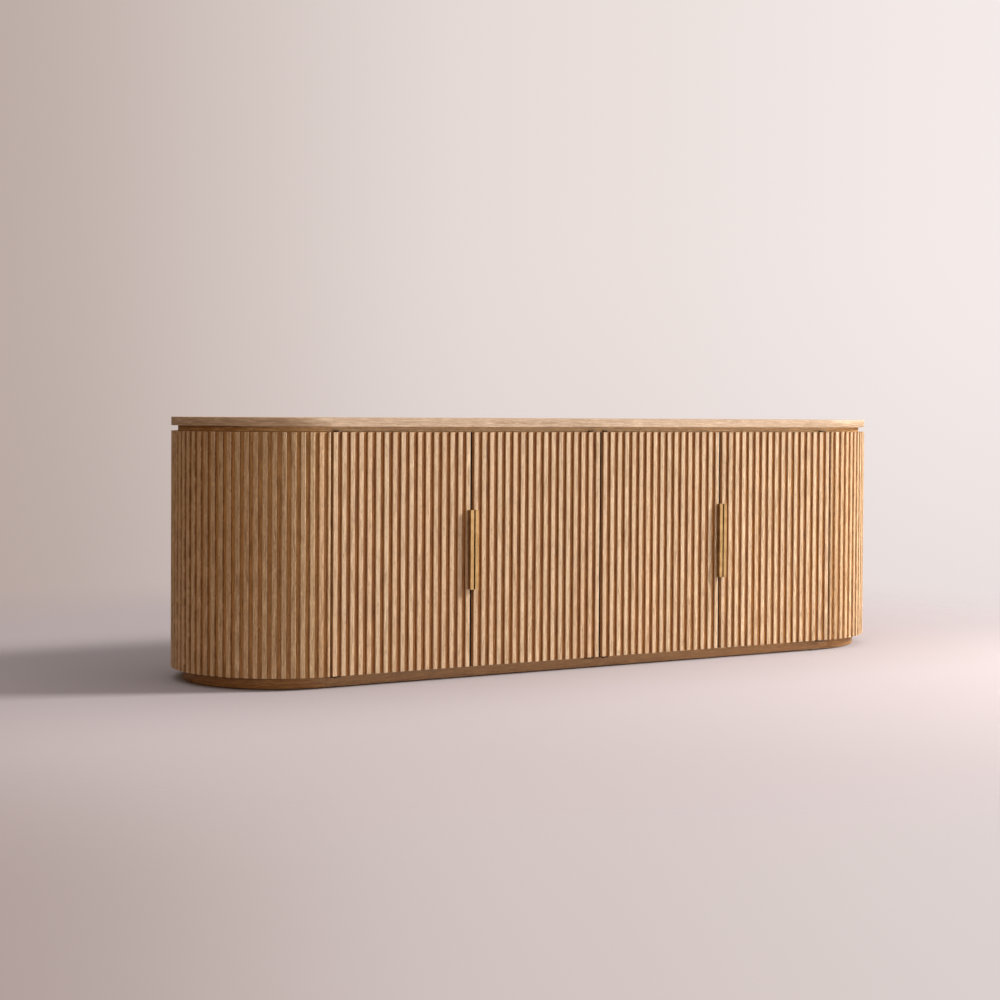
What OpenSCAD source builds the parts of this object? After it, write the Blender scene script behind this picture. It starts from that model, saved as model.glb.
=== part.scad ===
// Media cabinet: a long, round-ended sideboard with four slatted doors on pivot hinges.
// X runs along the length, -Y is the front, Z is up. The origin is the centre of the footprint, on the floor.

/* [Overall] */
// Width of one door, from seam centre to seam centre
door_w = 374; // [310:1:450]
// Depth of the cabinet, from front slat face to rear slat face
body_d = 528; // [440:1:640]
// Height of the cabinet, floor to top
body_h = 623; // [515:1:750]

/* [Slats] */
// Spacing of the slats that the doors come closest to
slat_pitch = 22; // [16:0.5:30]
// Width of a slat
slat_w = 11.5; // [9:0.5:14]
// Height of a slat above the panel behind it
slat_t = 6; // [3:0.5:8]
// Radius on the two front edges of a slat
slat_r = 1.5; // [0.5:0.5:3]
// Width of the narrow slat at each edge of the curved ends
edge_slat_w = 6.5; // [6.5:0.5:12]

/* [Doors] */
// Thickness of a door panel
door_t = 16; // [16:1:20]
// Gap between neighbouring doors
seam = 3; // [3:0.5:5]
// Gap above the plinth
door_foot = 2; // [2:0.5:6]
// Gap below the reveal board
door_head = 1; // [1:0.5:4]
// Distance of the hinge pin from the door's edge
pivot_in = 20; // [20:1:28]
// Distance of the hinge pin behind the slat face
pivot_back = 13; // [12.5:0.5:14]

/* [Pulls] */
// Length of a pull
pull_l = 190; // [120:1:260]
// Width of a pull
pull_w = 9; // [8:0.5:12]
// How far a pull stands off the slat face
pull_proj = 13; // [10:1:24]
// Distance from the seam centre to the near side of a pull
pull_edge = 2; // [2:0.25:3]

/* [Carcass] */
// Thickness of the top slab
slab_t = 20; // [16:1:30]
// Height of the recessed board under the slab
reveal_h = 12; // [8:1:20]
// Inset of the recessed board
reveal_inset = 16; // [14.5:0.5:30]
// Thickness of the carcass boards and uprights
board_t = 18; // [15:1:22]
// Thickness of the bent shell of each end
shell_t = 12; // [8:1:16]
// Thickness of the back panels
back_t = 6; // [4:0.5:9]

/* [Plinth] */
// Height of the plinth, glides included
plinth_h = 27; // [22:1:60]
// Inset of the plinth
plinth_inset = 28; // [26:1:60]
// Thickness of the plinth rails
rail_t = 18; // [16:1:22]
// Height of a glide below the rails
glide_h = 2; // [1:0.5:6]

/* [Inside] */
// Height of the shelves above the base board, as placed
shelf_z = 262; // [150:1:340]
// Setback of the shelves behind the doors
shelf_setback = 40; // [30:1:120]
// Diameter of a cable hole in the back panels
cable_hole_d = 60; // [40:1:80]

/* [Hidden] */
$fn = 96;

oak = "#c49a6c";
oak_dark = "#8a6440";
brass = "#b08d57";
steel = "#8f9296";
black = "#2b2b2b";
linen = "#b9ad9c";

// Small clearances
fit = 0.2;           // round a screw or a let-in plate
run_fit = 0.05;      // radial, hinge pin in its bush
through = 1;         // how far a cutting shape runs past a face
heel_clear = 1;      // round the swing of a door's heel
door_back_gap = 2;   // between a door and the carcass boards

// Levels
slab_z = body_h - slab_t;
reveal_z = slab_z - reveal_h;
top_z = reveal_z - board_t;
base_top_z = plinth_h + board_t;
door_z0 = plinth_h + door_foot;
door_z1 = reveal_z - door_head;
door_mid_z = (door_z0 + door_z1) / 2;
shelf_under_z = base_top_z + shelf_z;

// Plan
mid_y = pull_proj / 2;
front_y = mid_y - body_d / 2;
end_x = 2 * door_w + seam / 2;
end_r = body_d / 2;
shell_r = end_r - slat_t;
board_inset = slat_t + shell_t;
board_back_y = front_y + body_d - board_inset;
panel_y = front_y + slat_t;
door_back_y = panel_y + door_t;
board_front_y = door_back_y + door_back_gap;
pivot_y = front_y + pivot_back;
heel_r = norm([pivot_in, slat_t + door_t - pivot_back]) + heel_clear;
divider_front_y = pivot_y + heel_r;
rail_y = front_y + plinth_inset;
rail_back_y = front_y + body_d - plinth_inset;
shelf_front_y = door_back_y + shelf_setback;

// Slats
door_slats = round(door_w / slat_pitch);
door_pitch = door_w / door_slats;
end_arc = PI * end_r - 2 * edge_slat_w;
end_slats = round((end_arc - (slat_pitch - slat_w)) / slat_pitch);
end_gap = (end_arc - end_slats * slat_w) / (end_slats + 1);

// Pivot hinges
plate_t = 3;
plate_r = 9;
plate_l = 60;
pin_r = 3;
pin_hold = 13;
bush_r = 4.5;
bush_l = 14;
flange_r = 7;
flange_gap = 0.2;
plate_back = plate_l - plate_r;
plate_screw_from_end = [16, 4];
plate_screw_back = [for (d = plate_screw_from_end) plate_back - d];
plate_screw_l = 14;

// Screws
small_r = 1.5;
small_head_r = 3;
small_head_h = 2;
wood_r = 2.5;
wood_head_r = 5;
wood_head_h = 3;
top_bite = 12;
upright_bite = 30;
plinth_bite = 16;
back_bite = 12;
pull_bite = 8;
pull_screw_span = 96;

// Catches
catch_w = 56;
catch_d = 16;
catch_h = 12;
magnet_w = 16;
magnet_h = 6;
magnet_d = 6;
strike_w = 18;
strike_t = 1.2;
strike_gap = 0.3;
catch_front_y = door_back_y + strike_t + strike_gap;

// Shelves and their pins
shelf_side_gap = 2;
pin_hole_r = 2.5;
pin_short = 1;
pin_in = board_t / 2 - pin_short;
pin_out = 8;
pin_rows = [60, 340];
pin_steps = [-64, 0, 64];

// Wall brackets, grommets and glides
bracket_w = 30;
bracket_h = 30;
bracket_t = 2;
bracket_foot = 13;
bracket_hole_r = 2.5;
bracket_hole_drop = 18;
bracket_from_rear = 2;
bracket_y = front_y + body_d - bracket_from_rear;
grommet_wall = 3;
grommet_lip = 4;
grommet_lip_t = 2;
glide_r = 8;
glide_stem_r = 3;
glide_stem_l = 12;
back_gap = 0.5;

// Fixing patterns
top_screw_in = 110;
top_screw_out = 120;
upright_screw_in = 80;
back_screw_in = 75;
glide_in = 39;
door_mid_x = [-1.5 * door_w, -0.5 * door_w, 0.5 * door_w, 1.5 * door_w];
top_screw_x = concat(-end_x - top_screw_out, door_mid_x, end_x + top_screw_out);
top_screw_y = [front_y + top_screw_in, front_y + body_d - top_screw_in];
upright_x = [-end_x - board_t / 2, 0, end_x + board_t / 2];
upright_screw_y = [front_y + upright_screw_in, front_y + body_d - upright_screw_in];
plinth_screw_y = [rail_y + rail_t / 2, rail_back_y - rail_t / 2];
back_screw_x = [back_screw_in, door_w, end_x - back_screw_in];
back_screw_z = [plinth_h + board_t / 2, reveal_z - board_t / 2];
glide_x = [glide_in - end_x, 0, end_x - glide_in];

// Cable holes are at the middle of the space below the shelf and of the space above it
cable_z = [(base_top_z + shelf_under_z) / 2, (shelf_under_z + board_t + top_z) / 2];

// Left edge, right edge, hinge side (-1 left, 1 right) and pin of door k, counted 1 to 4 from the left
function door_x0(k) = (k - 3) * door_w + seam / 2;
function door_x1(k) = (k - 2) * door_w - seam / 2;
function hinge_side(k) = k % 2 == 1 ? -1 : 1;
function pivot_x(k) = hinge_side(k) < 0 ? door_x0(k) + pivot_in : door_x1(k) - pivot_in;
// Seam at the door's free edge, and the centre line of its pull
function free_seam_x(k) = k < 3 ? -door_w : door_w;
function pull_x(k) = free_seam_x(k) + hinge_side(k) * (pull_edge + pull_w / 2);

// Outline of the whole cabinet, drawn in by the given amount
module stadium(inset) {
    r = end_r - inset;
    translate([0, mid_y]) {
        square([2 * end_x, 2 * r], center = true);
        for (s = [-1, 1]) translate([s * end_x, 0]) circle(r);
    }
}

// Half ring of a curved end; s is -1 for the left end and 1 for the right
module half_ring(s, r_out, wall) {
    translate([s * end_x, mid_y]) intersection() {
        difference() {
            circle(r_out);
            circle(r_out - wall);
        }
        translate([s > 0 ? 0 : -r_out, -r_out]) square([r_out, 2 * r_out]);
    }
}

// One slat in plan: its flat back on y = 0, its eased front towards -y
module slat_outline(w) {
    translate([-w / 2, slat_r - slat_t]) square([w, slat_t - slat_r]);
    translate([slat_r - w / 2, -slat_t]) square([w - 2 * slat_r, slat_t]);
    for (s = [-1, 1]) translate([s * (w / 2 - slat_r), slat_r - slat_t]) circle(slat_r);
}

// Screw along +Z with its head's face at the origin
module screw(l, r, head_r, head_h, grow = 0) {
    cylinder(h = l + grow, r = r + grow);
    cylinder(h = head_h, r = head_r + grow);
    if (grow > 0) translate([0, 0, -through]) cylinder(h = through + head_h, r = head_r + grow);
}

module plate_outline(grow = 0) {
    circle(plate_r + grow);
    translate([-plate_r - grow, 0]) square([2 * (plate_r + grow), plate_back + grow]);
}

module top_screw_set(grow = 0) {
    for (x = top_screw_x, y = top_screw_y)
        translate([x, y, top_z]) screw(slab_z - top_z + top_bite, wood_r, wood_head_r, wood_head_h, grow);
}

module upright_screw_set(grow = 0) {
    for (x = upright_x, y = upright_screw_y) {
        translate([x, y, plinth_h]) screw(board_t + upright_bite, wood_r, wood_head_r, wood_head_h, grow);
        translate([x, y, reveal_z]) mirror([0, 0, 1])
            screw(board_t + upright_bite, wood_r, wood_head_r, wood_head_h, grow);
    }
}

module plinth_screw_set(grow = 0) {
    for (x = door_mid_x, y = plinth_screw_y)
        translate([x, y, base_top_z]) mirror([0, 0, 1])
            screw(board_t + plinth_bite, wood_r, wood_head_r, wood_head_h, grow);
}

module back_screw_set(grow = 0) {
    for (side = [-1, 1], x = back_screw_x, z = back_screw_z)
        translate([side * x, board_back_y + back_t, z]) rotate([90, 0, 0])
            screw(back_t + back_bite, small_r, small_head_r, small_head_h, grow);
}

module plate_screw_set(grow = 0) {
    for (k = [1 : 4], d = plate_screw_back) translate([pivot_x(k), pivot_y + d, 0]) {
        translate([0, 0, reveal_z + plate_t]) mirror([0, 0, 1])
            screw(plate_screw_l, small_r, small_head_r, small_head_h, grow);
        translate([0, 0, plinth_h - plate_t])
            screw(plate_screw_l, small_r, small_head_r, small_head_h, grow);
    }
}

module pull_screw_set(k, grow = 0) {
    for (s = [-1, 1]) translate([pull_x(k), door_back_y, door_mid_z + s * pull_screw_span / 2])
        rotate([90, 0, 0])
            screw(door_t + slat_t + pull_bite, small_r, small_head_r, small_head_h, grow);
}

module shelf_pin_set(grow = 0, steps = [0]) {
    for (side = [-1, 1], wall = [0, 1], y = pin_rows, z = steps) {
        x = wall == 0 ? board_t / 2 : end_x;
        inward = wall == 0 ? -1 : 1;
        translate([side * x, shelf_front_y + y, shelf_under_z - pin_hole_r + z])
            rotate([0, side * inward * 90, 0])
                translate([0, 0, grow > 0 ? 0 : -pin_out])
                    cylinder(h = grow > 0 ? pin_in + grow : pin_in + pin_out, r = pin_hole_r + grow);
    }
}

// Carcass board with room for the doors along the front
module board_outline() {
    difference() {
        stadium(board_inset);
        translate([-end_x, front_y]) square([2 * end_x, board_front_y - front_y]);
        for (k = [1 : 4]) translate([pivot_x(k), pivot_y]) circle(heel_r);
    }
}

module top_slab() {
    color(oak) difference() {
        translate([0, 0, slab_z]) linear_extrude(slab_t) stadium(0);
        top_screw_set(fit);
        bracket_screw_set(fit);
    }
}

module reveal_board() {
    color(oak) difference() {
        translate([0, 0, reveal_z]) linear_extrude(reveal_h) stadium(reveal_inset);
        translate([0, 0, reveal_z - through]) linear_extrude(plate_t + fit + through)
            for (k = [1 : 4]) translate([pivot_x(k), pivot_y]) plate_outline(fit);
        top_screw_set(fit);
    }
}

module carcass_top() {
    color(oak_dark) difference() {
        translate([0, 0, top_z]) linear_extrude(board_t) board_outline();
        top_screw_set(fit);
        upright_screw_set(fit);
        plate_screw_set(fit);
        back_screw_set(fit);
    }
}

module carcass_base() {
    color(oak_dark) difference() {
        translate([0, 0, plinth_h]) linear_extrude(board_t) board_outline();
        upright_screw_set(fit);
        plinth_screw_set(fit);
        plate_screw_set(fit);
        back_screw_set(fit);
    }
}

module upright(s) {
    color(oak_dark) difference() {
        translate([0, 0, base_top_z]) linear_extrude(top_z - base_top_z) intersection() {
            stadium(board_inset);
            translate([s > 0 ? end_x : -end_x - board_t, panel_y + shell_t + fit]) square([board_t, body_d]);
        }
        upright_screw_set(fit);
        shelf_pin_set(fit, pin_steps);
    }
}

module centre_divider() {
    color(oak_dark) difference() {
        translate([-board_t / 2, divider_front_y, base_top_z])
            cube([board_t, board_back_y - divider_front_y, top_z - base_top_z]);
        upright_screw_set(fit);
        shelf_pin_set(fit, pin_steps);
    }
}

module back_panel(s) {
    w = end_x - 2 * back_gap;
    color(linen) difference() {
        translate([s > 0 ? back_gap : -back_gap - w, board_back_y, plinth_h])
            cube([w, back_t, reveal_z - plinth_h]);
        for (z = cable_z) translate([s * door_w, board_back_y - through, z]) rotate([-90, 0, 0])
            cylinder(h = back_t + 2 * through, d = cable_hole_d);
        back_screw_set(fit);
    }
}

module end_shell(s) {
    color(oak_dark) translate([0, 0, door_z0]) linear_extrude(door_z1 - door_z0)
        half_ring(s, shell_r, shell_t);
}

// Slats follow the curve of an end, with a narrow one at each edge
module end_slat_ring(s) {
    color(oak) translate([s * end_x, mid_y, door_z0]) for (i = [-1 : end_slats]) {
        edge = i < 0 || i == end_slats;
        run = i < 0 ? edge_slat_w / 2
            : i == end_slats ? PI * end_r - edge_slat_w / 2
            : edge_slat_w + end_gap + slat_w / 2 + i * (slat_w + end_gap);
        rotate(s * run / end_r * 180 / PI) translate([0, -shell_r])
            linear_extrude(door_z1 - door_z0) slat_outline(edge ? edge_slat_w : slat_w);
    }
}

module plinth_rail(y) {
    color(oak_dark) difference() {
        translate([-end_x, y, glide_h]) cube([2 * end_x, rail_t, plinth_h - glide_h]);
        for (k = [1 : 4]) translate([pivot_x(k), pivot_y, plinth_h - plate_t - fit])
            linear_extrude(plate_t + fit + through) plate_outline(fit);
        plinth_screw_set(fit);
        glide_set(fit);
    }
}

module plinth_end(s) {
    color(oak_dark) difference() {
        translate([0, 0, glide_h]) linear_extrude(plinth_h - glide_h)
            half_ring(s, end_r - plinth_inset, rail_t);
        glide_set(fit);
    }
}

module plinth_cross_rails() {
    color(oak_dark) for (x = [-door_w, 0, door_w])
        translate([x - rail_t / 2, rail_y + rail_t, glide_h])
            cube([rail_t, rail_back_y - rail_y - 2 * rail_t, plinth_h - glide_h]);
}

module glide(grow) {
    if (grow == 0) cylinder(h = glide_h, r = glide_r);
    cylinder(h = glide_h + glide_stem_l + grow, r = glide_stem_r + grow);
}

module glide_set(grow = 0) {
    for (x = glide_x, y = plinth_screw_y) translate([x, y, 0]) glide(grow);
    for (s = [-1, 1]) translate([s * (end_x + end_r - plinth_inset - rail_t / 2), mid_y, 0]) glide(grow);
}

module glides() { color(black) glide_set(); }

module shelf(s) {
    w = end_x - board_t / 2 - 2 * shelf_side_gap;
    color(oak) translate([s > 0 ? board_t / 2 + shelf_side_gap : -board_t / 2 - shelf_side_gap - w,
                          shelf_front_y, shelf_under_z])
        cube([w, board_back_y - shelf_front_y - shelf_side_gap, board_t]);
}

module shelf_pins() { color(steel) shelf_pin_set(); }

module grommets(s) {
    r = cable_hole_d / 2;
    color(black) for (z = cable_z) translate([s * door_w, board_back_y, z]) rotate([-90, 0, 0]) difference() {
        union() {
            cylinder(h = back_t, r = r);
            translate([0, 0, back_t]) cylinder(h = grommet_lip_t, r = r + grommet_lip);
        }
        translate([0, 0, -through]) cylinder(h = back_t + grommet_lip_t + 2 * through, r = r - grommet_wall);
    }
}

module bracket_screw_set(grow = 0) {
    for (s = [-1, 1]) translate([s * door_w, bracket_y - bracket_foot / 2, slab_z - bracket_t])
        screw(bracket_t + top_bite, small_r, small_head_r, small_head_h, grow);
}

// Angle under the slab's rear edge, for a strap to the wall
module wall_brackets() {
    color(steel) difference() {
        for (s = [-1, 1]) translate([s * door_w - bracket_w / 2, bracket_y, slab_z]) {
            translate([0, -bracket_t, -bracket_h]) cube([bracket_w, bracket_t, bracket_h]);
            translate([0, -bracket_foot, -bracket_t]) cube([bracket_w, bracket_foot, bracket_t]);
        }
        for (s = [-1, 1]) translate([s * door_w, bracket_y + through, slab_z - bracket_hole_drop])
            rotate([90, 0, 0]) cylinder(h = bracket_t + 2 * through, r = bracket_hole_r);
        bracket_screw_set(fit);
    }
}

module bracket_screws() { color(steel) bracket_screw_set(); }

module plates(z) {
    color(black) translate([0, 0, z]) difference() {
        linear_extrude(plate_t) for (k = [1 : 4]) translate([pivot_x(k), pivot_y]) plate_outline();
        for (k = [1 : 4]) translate([pivot_x(k), pivot_y, -through])
            cylinder(h = plate_t + 2 * through, r = pin_r);
        translate([0, 0, -z]) plate_screw_set(fit);
    }
}

module pivot_pins() {
    color(steel) for (k = [1 : 4]) translate([pivot_x(k), pivot_y, 0]) {
        translate([0, 0, plinth_h - plate_t]) cylinder(h = plate_t + door_foot + pin_hold, r = pin_r);
        translate([0, 0, door_z1 - pin_hold]) cylinder(h = pin_hold + door_head + plate_t, r = pin_r);
    }
}

module pivot_plate_screws() { color(steel) plate_screw_set(); }

module catch_housings() {
    color(black) for (s = [-1, 1])
        translate([s * door_w - catch_w / 2, catch_front_y, top_z - catch_h]) difference() {
            cube([catch_w, catch_d, catch_h]);
            for (m = [-1, 1])
                translate([catch_w / 2 + m * catch_w / 4 - magnet_w / 2, -through, (catch_h - magnet_h) / 2])
                    cube([magnet_w, magnet_d + through, magnet_h]);
        }
}

module catch_magnets() {
    color(steel) for (s = [-1, 1], m = [-1, 1])
        translate([s * door_w + m * catch_w / 4 - magnet_w / 2, catch_front_y,
                   top_z - (catch_h + magnet_h) / 2])
            cube([magnet_w, magnet_d, magnet_h]);
}

module top_screws() { color(steel) top_screw_set(); }
module upright_screws() { color(steel) upright_screw_set(); }
module plinth_screws() { color(steel) plinth_screw_set(); }
module back_screws() { color(steel) back_screw_set(); }

module door_panel(k) {
    color(oak_dark) difference() {
        translate([door_x0(k), panel_y, door_z0])
            cube([door_x1(k) - door_x0(k), door_t, door_z1 - door_z0]);
        translate([pivot_x(k), pivot_y, door_z0 - through]) cylinder(h = bush_l + through, r = bush_r);
        translate([pivot_x(k), pivot_y, door_z1 - bush_l]) cylinder(h = bush_l + through, r = bush_r);
        pull_screw_set(k, fit);
    }
}

module door_slats(k) {
    color(oak) difference() {
        translate([0, 0, door_z0]) linear_extrude(door_z1 - door_z0) for (i = [0 : door_slats - 1])
            translate([(k - 3) * door_w + (i + 0.5) * door_pitch, panel_y]) slat_outline(slat_w);
        pull_screw_set(k, fit);
    }
}

module door_pull(k) {
    color(brass) difference() {
        translate([pull_x(k) - pull_w / 2, front_y - pull_proj, door_mid_z - pull_l / 2])
            cube([pull_w, pull_proj, pull_l]);
        pull_screw_set(k, fit);
    }
}

module door_pull_screws(k) { color(steel) pull_screw_set(k); }

module bush(flange_t) {
    difference() {
        union() {
            cylinder(h = bush_l, r = bush_r);
            translate([0, 0, -flange_t]) cylinder(h = flange_t, r = flange_r);
        }
        translate([0, 0, -flange_t - through])
            cylinder(h = bush_l + flange_t + 2 * through, r = pin_r + run_fit);
    }
}

module door_bushes(k) {
    color(black) translate([pivot_x(k), pivot_y, 0]) {
        translate([0, 0, door_z0]) bush(door_foot - flange_gap);
        translate([0, 0, door_z1]) mirror([0, 0, 1]) bush(door_head - flange_gap);
    }
}

module door_strike(k) {
    x = free_seam_x(k) + hinge_side(k) * catch_w / 4;
    color(steel) translate([x - strike_w / 2, door_back_y, top_z - (catch_h + strike_w) / 2])
        cube([strike_w, strike_t, strike_w]);
}

top_slab();
reveal_board();
carcass_top();
carcass_base();
upright(-1);  // left_upright
upright(1);  // right_upright
centre_divider();
back_panel(-1);  // left_back_panel
back_panel(1);  // right_back_panel
end_shell(-1);  // left_end_shell
end_shell(1);  // right_end_shell
end_slat_ring(-1);  // left_end_slats
end_slat_ring(1);  // right_end_slats
plinth_rail(rail_y);  // plinth_front_rail
plinth_rail(rail_back_y - rail_t);  // plinth_back_rail
plinth_end(-1);  // plinth_left_end
plinth_end(1);  // plinth_right_end
plinth_cross_rails();
glides();
shelf(-1);  // left_shelf
shelf(1);  // right_shelf
shelf_pins();
grommets(-1);  // left_grommets
grommets(1);  // right_grommets
wall_brackets();
bracket_screws();
plates(reveal_z);  // top_pivot_plates
plates(plinth_h - plate_t);  // base_pivot_plates
pivot_pins();
pivot_plate_screws();
catch_housings();
catch_magnets();
top_screws();
upright_screws();
plinth_screws();
back_screws();
door_panel(1);  // door_1_panel
door_slats(1);  // door_1_slats
door_pull(1);  // door_1_pull
door_pull_screws(1);  // door_1_pull_screws
door_bushes(1);  // door_1_bushes
door_strike(1);  // door_1_strike
door_panel(2);  // door_2_panel
door_slats(2);  // door_2_slats
door_pull(2);  // door_2_pull
door_pull_screws(2);  // door_2_pull_screws
door_bushes(2);  // door_2_bushes
door_strike(2);  // door_2_strike
door_panel(3);  // door_3_panel
door_slats(3);  // door_3_slats
door_pull(3);  // door_3_pull
door_pull_screws(3);  // door_3_pull_screws
door_bushes(3);  // door_3_bushes
door_strike(3);  // door_3_strike
door_panel(4);  // door_4_panel
door_slats(4);  // door_4_slats
door_pull(4);  // door_4_pull
door_pull_screws(4);  // door_4_pull_screws
door_bushes(4);  // door_4_bushes
door_strike(4);  // door_4_strike
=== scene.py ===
import math

import bpy
from mathutils import Matrix, Vector


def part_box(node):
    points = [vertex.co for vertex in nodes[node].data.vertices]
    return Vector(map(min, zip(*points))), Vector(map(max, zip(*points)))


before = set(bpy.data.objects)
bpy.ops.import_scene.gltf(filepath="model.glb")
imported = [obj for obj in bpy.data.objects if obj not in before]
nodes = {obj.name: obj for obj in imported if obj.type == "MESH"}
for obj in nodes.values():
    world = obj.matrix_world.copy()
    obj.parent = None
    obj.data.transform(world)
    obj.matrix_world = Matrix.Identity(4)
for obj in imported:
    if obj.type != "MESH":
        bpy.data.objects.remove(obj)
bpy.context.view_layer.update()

MM = 0.001

# ---------------------------------------------------------------- the slats, as in the part's source
SLATS_PER_DOOR = 17
END_SLATS = 37
EDGE_SLAT_W = 6.5 * MM
SLAT_W = 11.5 * MM

# ---------------------------------------------------------------- sizes read from the frame
slab_low, slab_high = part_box("top_slab")
END_R = (slab_high.y - slab_low.y) / 2
END_X = slab_high.x - END_R
MID_Y = (slab_high.y + slab_low.y) / 2
slat_low, slat_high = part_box("door_1_slats")
next_low, next_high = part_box("door_2_slats")
DOOR_W = next_low.x - slat_low.x
SLAT_PITCH = DOOR_W / SLATS_PER_DOOR
FRONT_Y = slat_low.y
SLAT_T = slat_high.y - slat_low.y
panel_low, panel_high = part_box("door_1_panel")
PANEL_T = panel_high.y - panel_low.y
SHELL_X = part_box("right_end_shell")[0].x
END_ARC = math.pi * END_R
END_GAP = (END_ARC - 2 * EDGE_SLAT_W - END_SLATS * SLAT_W) / (END_SLATS + 1)

# ---------------------------------------------------------------- figures shared by the woods
VENEER = ("96764f", "b3956e", "c2a782")     # dark, middle and light of the boards inside
SEAM_SHADE, SEAM_SHADE_SHARE = "140d08", 0.88       # painted shade: the near-black on the panels' and the shells' edges, in the seams
SEAM_CORE, SEAM_EDGE = 2.2 * MM, 3.4 * MM   # from a door's edge, where that dark is full and where it ends
SHELL_CORE, SHELL_EDGE = 1.0 * MM, 2.2 * MM  # the same from a shell's edge
SKIN, EDGE_BAND = 0.3 * MM, 1.5 * MM        # below a panel's face, where the dark edge starts and is full
SLAT_TONE, SLAT_HUE = 0.06, 0.3             # how far slats differ from each other
OAK_ROUGH = 0.5
SLAT_SHIFT = 7.0                            # the most that a slat's figure slides, in the noise's lengths
ENDS_APART = 60.0                           # keeps the left end's slat numbers clear of the right end's
SEED_OFFSET = 0.37                          # added to a slat's number to give its seed

# outputs that Blender's nodes give by number
GENERATED, NORMAL, OBJECT = 0, 1, 3         # of texture coordinates
VALUE = 1                                   # of vector math: a length or a dot product
POINTINESS = 7                              # of geometry


# ---------------------------------------------------------------- node helpers
class Graph:
    """Short calls for building one material's node tree."""

    def __init__(self, tree):
        self.tree = tree
        tree.nodes.clear()

    def put(self, socket, value):
        if isinstance(value, bpy.types.NodeSocket):
            self.tree.links.new(value, socket)
        else:
            socket.default_value = value

    def node(self, kind, out=0, props=None, **inputs):
        made = self.tree.nodes.new(kind)
        for name, value in (props or {}).items():
            setattr(made, name, value)
        for name, value in inputs.items():
            numbered = name[0] == "i" and name[1:].isdigit()
            key = int(name[1:]) if numbered else name.replace("_", " ")
            self.put(made.inputs[key], value)
        return made.outputs[out]

    def math(self, operation, a, b=0.0):
        return self.node("ShaderNodeMath", props={"operation": operation}, i0=a, i1=b)

    def add(self, a, b):
        return self.math("ADD", a, b)

    def sub(self, a, b):
        return self.math("SUBTRACT", a, b)

    def mul(self, a, b):
        return self.math("MULTIPLY", a, b)

    def ramp(self, value, low, high, out_low=0.0, out_high=1.0):
        """A smooth step; low may be above high, and then it falls."""
        made = self.tree.nodes.new("ShaderNodeMapRange")
        made.interpolation_type = "SMOOTHSTEP"
        for key, item in zip(("Value", "From Min", "From Max", "To Min", "To Max"),
                             (value, low, high, out_low, out_high)):
            self.put(made.inputs[key], item)
        return made.outputs["Result"]

    def split(self, value):
        made = self.tree.nodes.new("ShaderNodeSeparateXYZ")
        self.tree.links.new(value, made.inputs[0])
        return list(made.outputs)

    def blend(self, share, a, b):
        """a where the share is 0 and b where it is 1, for plain numbers."""
        made = self.tree.nodes.new("ShaderNodeMix")
        made.data_type = "FLOAT"
        for key, item in zip((0, 2, 3), (share, a, b)):
            self.put(made.inputs[key], item)
        return made.outputs[0]

    def around(self, value, amount):
        """1 where the value is a half, and as far either side as the amount says."""
        return self.add(1.0, self.mul(self.sub(value, 0.5), amount))

    def grey(self, value):
        return self.node("ShaderNodeCombineColor", i0=value, i1=value, i2=value)

    def vec(self, x, y, z):
        return self.node("ShaderNodeCombineXYZ", i0=x, i1=y, i2=z)

    def noise(self, at, scale, detail=3.0, rough=0.55):
        return self.node("ShaderNodeTexNoise", Vector=at, Scale=scale, Detail=detail, Roughness=rough)

    def length(self, vector):
        return self.node("ShaderNodeVectorMath", out=VALUE, props={"operation": "LENGTH"}, i0=vector)

    def mix(self, share, a, b, blend="MIX"):
        """a where the share is 0 and b where it is 1, for colours."""
        made = self.tree.nodes.new("ShaderNodeMix")
        made.data_type = "RGBA"
        made.blend_type = blend
        self.put(made.inputs["Factor"], share)
        self.put(made.inputs[6], a)
        self.put(made.inputs[7], b)
        return made.outputs[2]


def rgb(hexa, gain=1.0):
    """A colour written as the eye sees it, turned into light."""
    parts = [int(hexa[i:i + 2], 16) / 255 for i in (0, 2, 4)]
    linear = [c / 12.92 if c <= 0.04045 else ((c + 0.055) / 1.055) ** 2.4 for c in parts]
    return tuple(gain * c for c in linear) + (1.0,)


def material(name):
    made = bpy.data.materials.new(name)
    made.use_nodes = True
    return made, Graph(made.node_tree)


def finish(graph, shader):
    out = graph.tree.nodes.new("ShaderNodeOutputMaterial")
    graph.tree.links.new(shader, out.inputs["Surface"])


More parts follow.
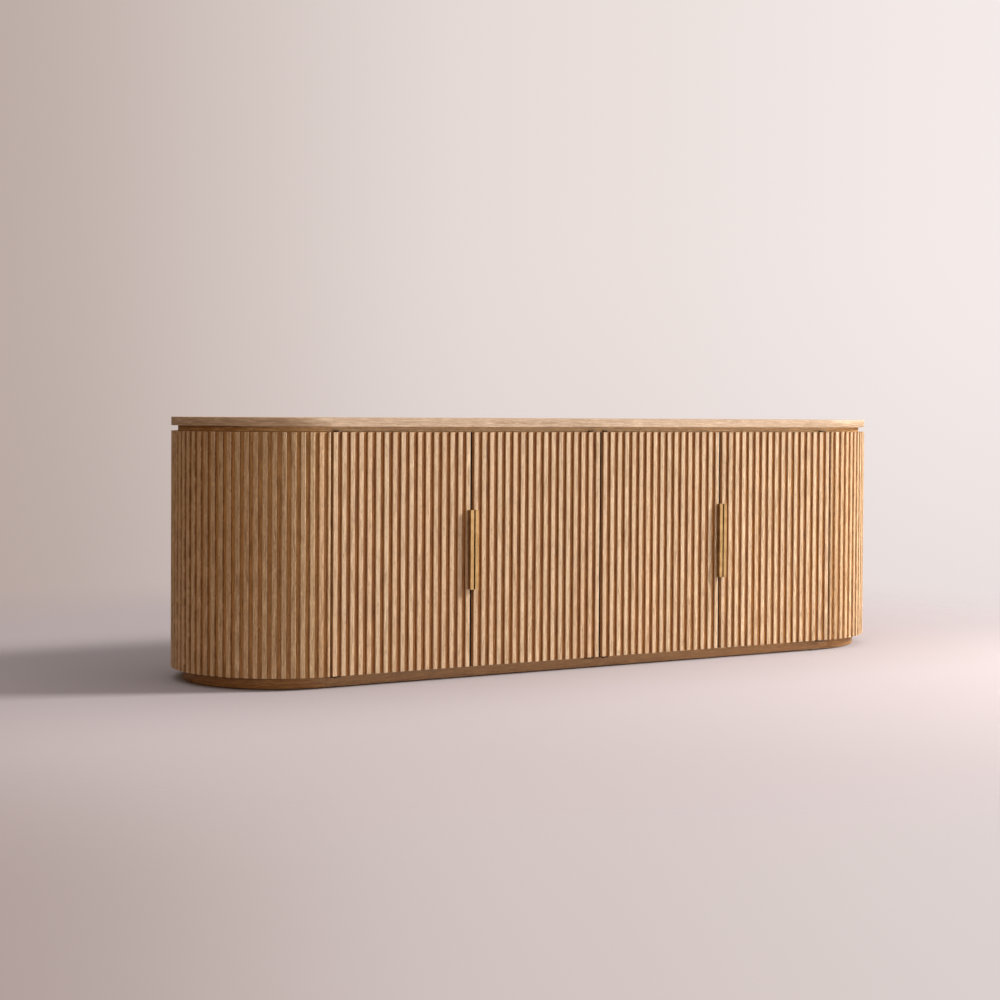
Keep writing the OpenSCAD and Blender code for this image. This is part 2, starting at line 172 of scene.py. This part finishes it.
def oak(name, dark, middle, light, shape=None, along="Z", pores=1.0, flecks=0.3, groove_shade=None,
        arris_lift=0.2):
    """Oiled oak. shape says how the piece lies. "doors" and "ends" are rows of slats, each its own tone.
    "bent" follows the round ends, with painted shade on its edges. "rim" has faces along X and a band that
    runs round its edge. "panels" are the door panels, with painted shade on their edges and an inner face
    like the boards inside.
    groove_shade, when given, is the colour of painted shade low on the slats' sides."""
    mat, g = material(name)
    at = g.node("ShaderNodeTexCoord", out=OBJECT)
    x, y, z = g.split(at)
    past = g.sub(g.math("ABSOLUTE", x), END_X)
    hand = g.math("SIGN", x)
    angle = g.math("ARCTAN2", past, g.sub(MID_Y, y))
    arc = g.mul(angle, END_R)
    tone_seed = hue_seed = None
    shift = 0.0
    if shape in ("doors", "ends"):
        if shape == "doors":
            index = g.math("FLOOR", g.math("DIVIDE", x, SLAT_PITCH))
        else:
            run = g.math("DIVIDE", g.sub(arc, EDGE_SLAT_W + END_GAP / 2), SLAT_W + END_GAP)
            index = g.mul(g.add(g.math("FLOOR", run), ENDS_APART), hand)
        white = g.tree.nodes.new("ShaderNodeTexWhiteNoise")
        white.noise_dimensions = "1D"
        g.put(white.inputs["W"], g.add(index, SEED_OFFSET))
        shift, tone_seed, hue_seed = g.split(white.outputs["Color"])
        shift = g.mul(shift, SLAT_SHIFT)
    if shape == "rim":
        upright = g.math("ABSOLUTE", g.split(g.node("ShaderNodeTexCoord", out=NORMAL))[2])
        on_end = g.math("GREATER_THAN", past, 0.0)
        rim_run = g.blend(on_end, x, g.mul(g.add(arc, END_X), hand))
        on_face = g.math("GREATER_THAN", upright, 0.5)
        length = g.blend(on_face, rim_run, x)
        side_a = g.blend(on_face, z, y)
        side_b = 0.0
    elif along == "X":
        length, side_a, side_b = x, y, z
    elif shape in ("ends", "bent"):
        length, side_a, side_b = z, g.mul(arc, hand), 0.0
    else:
        length, side_a, side_b = z, x, y

    def grain(scale, squeeze, detail=2.0, roughness=0.6, across=side_a):
        """Noise drawn out along the grain, 1 / squeeze times as long as it is wide."""
        spot = g.vec(across, side_b, g.add(g.mul(length, squeeze), shift))
        return g.noise(spot, scale, detail, roughness)

    # fibres under a millimetre wide, pencil streaks of 2 or 3 mm, and growth rings that wander a little
    fibre = grain(1100.0, 0.025)
    pencil = grain(380.0, 0.06, 2.0, 0.65)
    wander = grain(5.0, 1.2, 1.0, 0.5)
    ring_at = g.add(side_a, g.mul(g.sub(wander, 0.5), 0.010))
    ring_scale, ring_squeeze = (60.0, 0.04) if shape == "rim" else (130.0, 0.10)
    ring = grain(ring_scale, ring_squeeze, 2.0, 0.55, ring_at)
    # pores: short dark dashes along the grain
    pore = g.ramp(grain(560.0, 0.16, 1.0, 0.5), 0.56, 0.70)
    cloud = g.noise(at, 2.3, 2.0, 0.5)
    # flecks a few millimetres long, lighter and darker than the wood round them
    fleck = grain(330.0, 0.30, 1.0, 0.5)

    def wood(low, mid, high):
        rings = g.mix(g.ramp(ring, 0.28, 0.56), rgb(low), rgb(mid))
        return g.mix(g.ramp(pencil, 0.42, 0.72), rings, rgb(high))

    body = wood(dark, middle, light)
    if shape == "panels":
        # the inner face is plain veneer like the boards inside
        inside = g.sub(y, FRONT_Y + SLAT_T)
        lined = g.ramp(inside, PANEL_T - 0.8 * MM, PANEL_T - 0.2 * MM)
        body = g.mix(lined, body, wood(*VENEER))
    shade = g.around(fibre, 0.45)
    shade = g.mul(shade, g.around(pencil, 0.50))
    shade = g.mul(shade, g.around(fleck, flecks))
    shade = g.mul(shade, g.around(cloud, 0.12))
    shade = g.mul(shade, g.sub(1.0, g.mul(pore, 0.34 * pores)))
    if tone_seed is not None:
        shade = g.mul(shade, g.around(tone_seed, 2 * SLAT_TONE))
        body = g.mix(g.mul(hue_seed, SLAT_HUE), body, g.mix(1.0, body, rgb("f6d6bd"), "MULTIPLY"))
    body = g.mix(1.0, body, g.grey(shade), "MULTIPLY")
    # arrises are a little lighter
    pointed = g.node("ShaderNodeNewGeometry", out=POINTINESS)
    body = g.mix(g.mul(g.ramp(pointed, 0.52, 0.60), arris_lift), body, rgb(light))
    if shape == "panels":
        # painted shade: the panels' edges and the strips beside the doors' seams are near-black, so that
        # the seams read as dark lines
        below_face = g.ramp(inside, SKIN, EDGE_BAND)
        edge = g.mul(below_face, g.ramp(inside, PANEL_T - SKIN, PANEL_T - EDGE_BAND))
        beside = g.math("PINGPONG", x, DOOR_W / 2)
        edge = g.math("MAXIMUM", edge, g.ramp(beside, SEAM_EDGE, SEAM_CORE))
        body = g.mix(g.mul(g.mul(edge, g.sub(1.0, lined)), SEAM_SHADE_SHARE), body, rgb(SEAM_SHADE))
    if shape == "bent":
        # painted shade: the shells' edges beside the doors are near-black, like a seam in shade
        edge = g.ramp(g.sub(g.math("ABSOLUTE", x), SHELL_X), SHELL_EDGE, SHELL_CORE)
        body = g.mix(g.mul(edge, SEAM_SHADE_SHARE), body, rgb(SEAM_SHADE))
    if groove_shade is not None:
        # painted shade: the slats are darker low on their sides, in the gaps between them, less so on the
        # ends
        if shape == "doors":
            depth = g.sub(y, FRONT_Y)
        else:
            depth = g.sub(END_R, g.length(g.vec(past, g.sub(y, MID_Y), 0.0)))
        sunk_shade = g.ramp(depth, 0.25 * SLAT_T, 0.9 * SLAT_T)
        body = g.mix(sunk_shade, body, g.mix(1.0, body, rgb(groove_shade), "MULTIPLY"))

    gloss = g.add(OAK_ROUGH, g.add(g.mul(g.sub(fibre, 0.5), 0.2), g.mul(pore, 0.16)))
    height = g.sub(g.add(g.mul(fibre, 0.4), g.mul(pencil, 0.5)), g.mul(pore, 0.7))
    bump = g.node("ShaderNodeBump", Strength=0.35, Distance=0.0004, Height=height)
    shader = g.node("ShaderNodeBsdfPrincipled", Base_Color=body, Roughness=gloss, Normal=bump,
                    Specular_IOR_Level=0.35, Coat_Weight=0.05, Coat_Roughness=0.4)
    finish(g, shader)
    return mat


def ply(name, face_dark, face_light):
    """Birch-faced ply: pale, quiet figure on the faces."""
    mat, g = material(name)
    at = g.node("ShaderNodeTexCoord", out=OBJECT)
    x, y, z = g.split(at)
    wander = g.noise(g.vec(x, y, g.mul(z, 0.6)), 5.0, 2.0)
    grain = g.noise(g.vec(g.add(x, g.mul(wander, 0.02)), y, g.mul(z, 0.03)), 140.0, 4.0, 0.6)
    fine = g.noise(g.vec(x, y, g.mul(z, 0.04)), 700.0, 2.0)
    flame = g.noise(g.vec(x, y, g.mul(z, 0.3)), 7.0, 3.0)
    body = g.mix(g.ramp(grain, 0.35, 0.65), rgb(face_dark), rgb(face_light))
    shade = g.mul(g.around(fine, 0.3), g.around(flame, 0.3))
    body = g.mix(1.0, body, g.grey(shade), "MULTIPLY")
    bump = g.node("ShaderNodeBump", Strength=0.2, Distance=0.0002, Height=g.add(grain, fine))
    gloss = g.ramp(fine, 0.3, 0.7, 0.5, 0.68)
    shader = g.node("ShaderNodeBsdfPrincipled", Base_Color=body, Roughness=gloss, Normal=bump,
                    Specular_IOR_Level=0.35)
    finish(g, shader)
    return mat


def metal(name, dark, light, rough, along="Z", brush=1.0, spots=0.0, metallic=1.0):
    """Brushed metal: fine lines along one axis, cloudy handling marks, a little tarnish in patches. With
    metallic at 0 it is a powder coat."""
    mat, g = material(name)
    at = g.node("ShaderNodeTexCoord", out=OBJECT)
    x, y, z = g.split(at)
    drawn_out = 0.012
    lines_at = g.vec(x, y, g.mul(z, drawn_out)) if along == "Z" else g.vec(g.mul(x, drawn_out), y, z)
    lines = g.noise(lines_at, 2600.0, 2.0, 0.7)
    cloud = g.noise(at, 45.0, 4.0, 0.6)
    patch = g.ramp(g.noise(at, 150.0, 3.0, 0.6), 0.60, 0.74)
    body = g.mix(g.ramp(cloud, 0.3, 0.7), rgb(dark), rgb(light))
    body = g.mix(g.mul(patch, spots), body, rgb(dark, 0.5))
    gloss = g.add(g.add(rough, g.mul(g.sub(lines, 0.5), 0.25 * brush)), g.mul(g.sub(cloud, 0.5), 0.16))
    bump = g.node("ShaderNodeBump", Strength=0.12 * brush, Distance=0.0001, Height=lines)
    shader = g.node("ShaderNodeBsdfPrincipled", Base_Color=body, Metallic=metallic, Roughness=gloss,
                    Normal=bump)
    finish(g, shader)
    return mat


def plastic(name, dark, light, rough):
    """Moulded nylon: fine sparked texture and a faint cloudiness."""
    mat, g = material(name)
    at = g.node("ShaderNodeTexCoord", out=OBJECT)
    fine = g.noise(at, 1800.0, 2.0, 0.6)
    cloud = g.noise(at, 30.0, 3.0, 0.5)
    body = g.mix(g.ramp(cloud, 0.3, 0.7), rgb(dark), rgb(light))
    gloss = g.add(rough, g.mul(g.sub(fine, 0.5), 0.3))
    bump = g.node("ShaderNodeBump", Strength=0.15, Distance=0.00015, Height=fine)
    shader = g.node("ShaderNodeBsdfPrincipled", Base_Color=body, Roughness=gloss, Normal=bump)
    finish(g, shader)
    return mat


# ---------------------------------------------------------------- the object's materials
looks = {
    "oak_top": oak("oak_top", "917355", "a98d72", "bba288", shape="rim", pores=0.7, flecks=0.12, arris_lift=0.1),
    "oak_frame": oak("oak_frame", "ab7e4a", "ca9e6a", "dab486", shape="rim", arris_lift=0.1),
    "oak_plinth": oak("oak_plinth", "6a431f", "8a5d2e", "9f7545", shape="rim", arris_lift=0.5),
    "oak_slats_doors": oak("oak_slats_doors", "92714c", "b09373", "c2a888", shape="doors", groove_shade="bb8a56",
                           flecks=0.25, arris_lift=0.45),
    "oak_slats_ends": oak("oak_slats_ends", "8a6842", "a98a66", "bda17e", shape="ends", groove_shade="e6c498",
                          pores=0.7, flecks=0.7, arris_lift=0.4),
    "oak_panel_doors": oak("oak_panel_doors", "7a4a19", "986329", "a9753a", shape="panels", flecks=0.2),
    "oak_panel_ends": oak("oak_panel_ends", "83592a", "a17340", "b28650", shape="bent", flecks=0.2),
    "oak_board_x": oak("oak_board_x", *VENEER, along="X"),
    "oak_board_z": oak("oak_board_z", *VENEER),
    "back_ply": ply("back_ply", "b39a78", "cdb595"),
    "brushed_brass": metal("brushed_brass", "8c6d46", "a6865b", 0.5, spots=0.2),
    "bronze_steel": metal("bronze_steel", "5c3f25", "6a4a2d", 0.6, along="X", brush=0.4, metallic=0.0),
    "zinc_steel": metal("zinc_steel", "8f9296", "b4b7ba", 0.38, spots=0.15),
    "black_nylon": plastic("black_nylon", "151515", "222222", 0.5),
}

# The look of each piece; what isn't named is small hardware in zinc-plated steel
look_of = {
    "top_slab": "oak_top", "reveal_board": "oak_frame",
    "carcass_top": "oak_board_x", "carcass_base": "oak_board_x",
    "left_upright": "oak_board_z", "right_upright": "oak_board_z", "centre_divider": "oak_board_z",
    "left_back_panel": "back_ply", "right_back_panel": "back_ply",
    "left_end_shell": "oak_panel_ends", "right_end_shell": "oak_panel_ends",
    "left_end_slats": "oak_slats_ends", "right_end_slats": "oak_slats_ends",
    "plinth_front_rail": "oak_plinth", "plinth_back_rail": "oak_plinth",
    "plinth_left_end": "oak_plinth", "plinth_right_end": "oak_plinth",
    "plinth_cross_rails": "oak_board_x",
    "left_shelf": "oak_board_x", "right_shelf": "oak_board_x",
    "left_grommets": "black_nylon", "right_grommets": "black_nylon", "glides": "black_nylon",
    "catch_housings": "black_nylon",
    "top_pivot_plates": "bronze_steel", "base_pivot_plates": "bronze_steel",
}
for k in range(1, 5):
    look_of[f"door_{k}_panel"] = "oak_panel_doors"
    look_of[f"door_{k}_slats"] = "oak_slats_doors"
    look_of[f"door_{k}_pull"] = "brushed_brass"
    look_of[f"door_{k}_bushes"] = "black_nylon"

# Width of the rounding on the edges of each kind of piece, in mm; pieces not named stay as they are
ROUND = {"top_slab": 1.6, "reveal_board": 0.5, "carcass_top": 0.5, "carcass_base": 0.5,
         "left_upright": 0.6, "right_upright": 0.6, "centre_divider": 0.6,
         "left_end_shell": 0.6, "right_end_shell": 0.6, "plinth_front_rail": 1.2, "plinth_back_rail": 1.2,
         "left_shelf": 1.0, "right_shelf": 1.0,
         "plinth_left_end": 1.2, "plinth_right_end": 1.2, "left_end_slats": 0.7, "right_end_slats": 0.7}
for k in range(1, 5):
    ROUND[f"door_{k}_slats"] = 0.7
    ROUND[f"door_{k}_panel"] = 0.5
    ROUND[f"door_{k}_pull"] = 0.7

WELD_DISTANCE = 0.01 * MM
SHARP = math.radians(40)

for name, obj in nodes.items():
    obj.data.materials.clear()
    obj.data.materials.append(looks[look_of.get(name, "zinc_steel")])
    if name in ROUND:
        weld = obj.modifiers.new("weld", "WELD")
        weld.merge_threshold = WELD_DISTANCE
        bevel = obj.modifiers.new("rounding", "BEVEL")
        bevel.width = ROUND[name] * MM
        bevel.segments = 2
        bevel.limit_method = "ANGLE"
        bevel.angle_limit = SHARP
        bevel.harden_normals = False
        bevel.use_clamp_overlap = True

# ---------------------------------------------------------------- camera, fitted to the photo's edges
CAM_AZIMUTH = math.radians(34.369)   # left of straight in front, about the middle of the doors' faces
CAM_DISTANCE = 4.700                 # metres from there, level
CAM_HEIGHT = 0.6351
LOOK_AZIMUTH = math.radians(31.270)  # the way it looks, to the right of straight back
PITCH = math.radians(1.098)          # downwards
ROLL = math.radians(0.344)
LENS = 67.75                         # mm on a sensor of 36 mm
SHIFT = -0.0504

eye = Vector((-CAM_DISTANCE * math.sin(CAM_AZIMUTH),
              FRONT_Y - CAM_DISTANCE * math.cos(CAM_AZIMUTH), CAM_HEIGHT))
forward = Vector((math.sin(LOOK_AZIMUTH) * math.cos(PITCH), math.cos(LOOK_AZIMUTH) * math.cos(PITCH),
                  -math.sin(PITCH)))
level_right = forward.cross(Vector((0, 0, 1))).normalized()
level_up = level_right.cross(forward)
right = level_right * math.cos(ROLL) + level_up * math.sin(ROLL)
up = level_up * math.cos(ROLL) - level_right * math.sin(ROLL)
camera_data = bpy.data.cameras.new("camera")
camera_data.lens = LENS
camera_data.sensor_width = 36
camera_data.shift_y = SHIFT
camera_data.clip_start = 0.05
camera_data.clip_end = 100
camera = bpy.data.objects.new("camera", camera_data)
camera.matrix_world = Matrix.Translation(eye) @ Matrix((right, up, -forward)).transposed().to_4x4()
bpy.context.scene.collection.objects.link(camera)
bpy.context.scene.camera = camera

# ---------------------------------------------------------------- floor
FLOOR_R = 30.0
FLOOR_SIDES = 64
FADE_NEAR, FADE_FAR = 1.2, 2.6       # metres from the middle between which the floor turns clear

turns = [i * math.tau / FLOOR_SIDES for i in range(FLOOR_SIDES)]
ring = [(FLOOR_R * math.cos(turn), FLOOR_R * math.sin(turn), 0) for turn in turns]
floor_mesh = bpy.data.meshes.new("floor")
floor_mesh.from_pydata(ring, [], [list(range(FLOOR_SIDES))])
floor = bpy.data.objects.new("floor", floor_mesh)
bpy.context.scene.collection.objects.link(floor)
floor_mat, g = material("floor")
at = g.node("ShaderNodeTexCoord", out=OBJECT)
along, outward, _ = g.split(at)
# painted light: a little paler to the right, where the key stands; and paler again in front of the cabinet
tone = g.mix(g.ramp(along, -1.2, 1.6), rgb("908786"), rgb("988e8d"))
paler = g.mix(1.0, tone, rgb("ffffff", 1.25), "MULTIPLY")
tone = g.mix(g.ramp(outward, 0.1, -0.8), tone, paler)
tone = g.mix(g.mul(g.noise(at, 1.5, 3.0, 0.5), 0.1), tone, rgb("a0908c"))
solid = g.node("ShaderNodeBsdfPrincipled", Base_Color=tone, Roughness=0.9, Specular_IOR_Level=0.1)
clear = g.node("ShaderNodeBsdfTransparent")
fade = g.ramp(g.length(at), FADE_NEAR, FADE_FAR)
finish(g, g.node("ShaderNodeMixShader", i0=fade, i1=solid, i2=clear))
floor.data.materials.append(floor_mat)

# ---------------------------------------------------------------- world
# The camera sees a backdrop that brightens to the right and greys below; the object gets a soft fill, white
# from overhead and brown from the side and below.
FILL_STRENGTH = 0.8

world = bpy.data.worlds.new("studio")
bpy.context.scene.world = world
world.use_nodes = True
g = Graph(world.node_tree)
direction = g.node("ShaderNodeTexCoord", out=GENERATED)
height = g.split(direction)[2]
level = Vector((forward.x, forward.y, 0)).normalized()
side = (level.y, -level.x, 0)
sideways = g.node("ShaderNodeVectorMath", out=VALUE, props={"operation": "DOT_PRODUCT"},
                  i0=direction, i1=side)
seen = g.mix(g.ramp(sideways, -0.30, 0.04), rgb("bbaaa4"), rgb("e8ddd9"))
seen = g.mix(g.ramp(sideways, 0.0, 0.28), seen, rgb("f5ecea"))
below = g.mix(1.0, g.mix(0.15, seen, rgb("dbd0cd")), rgb("e8e4e4"), "MULTIPLY")
seen = g.mix(g.ramp(height, 0.10, -0.32), seen, below)
backdrop = g.node("ShaderNodeBackground", Color=seen, Strength=1.0)
fill_tint = g.mix(g.ramp(height, -0.1, 0.6), rgb("6b5038"), rgb("b09880"))
fill_tint = g.mix(g.ramp(height, 0.5, 1.0), fill_tint, rgb("f4f6ff", 2.1))
fill = g.node("ShaderNodeBackground", Color=fill_tint, Strength=FILL_STRENGTH)
is_camera = g.node("ShaderNodeLightPath", out=0)
sky = g.node("ShaderNodeMixShader", i0=is_camera, i1=fill, i2=backdrop)
world_out = g.tree.nodes.new("ShaderNodeOutputWorld")
g.tree.links.new(sky, world_out.inputs["Surface"])


# ---------------------------------------------------------------- lights
def area(name, at, aim, wide, high, watts, colour, spread=180):
    """A rectangular light of wide by high metres that points at aim; spread is its cone in degrees."""
    light = bpy.data.lights.new(name, "AREA")
    light.shape = "RECTANGLE"
    light.size, light.size_y = wide, high
    light.energy = watts
    light.color = colour
    light.spread = math.radians(spread)
    obj = bpy.data.objects.new(name, light)
    obj.location = at
    obj.rotation_mode = "QUATERNION"
    obj.rotation_quaternion = (Vector(aim) - Vector(at)).to_track_quat("-Z", "Y")
    bpy.context.scene.collection.objects.link(obj)


# the key stands far to the right, and a narrow light reaches into the gaps between the right end's slats
area("key", (6.3, -3.0, 4.4), (0.0, 0.0, 0.3), 1.7, 1.7, 1450, (0.975, 0.985, 0.99))
area("front_fill", (2.4, -4.8, 0.5), (0.4, 0.0, 0.3), 3.0, 0.9, 85, (1.0, 0.95, 0.90))
area("left_fill", (-4.5, -3.5, 1.8), (-0.4, 0.0, 0.3), 2.5, 1.8, 34, (1.0, 0.73, 0.46))
area("right_end_kick", (-1.4, -4.6, 0.7), (1.15, -0.1, 0.2), 0.6, 0.6, 1.4, (0.97, 0.98, 0.98), 20)

bpy.context.scene.view_settings.view_transform = "Standard"
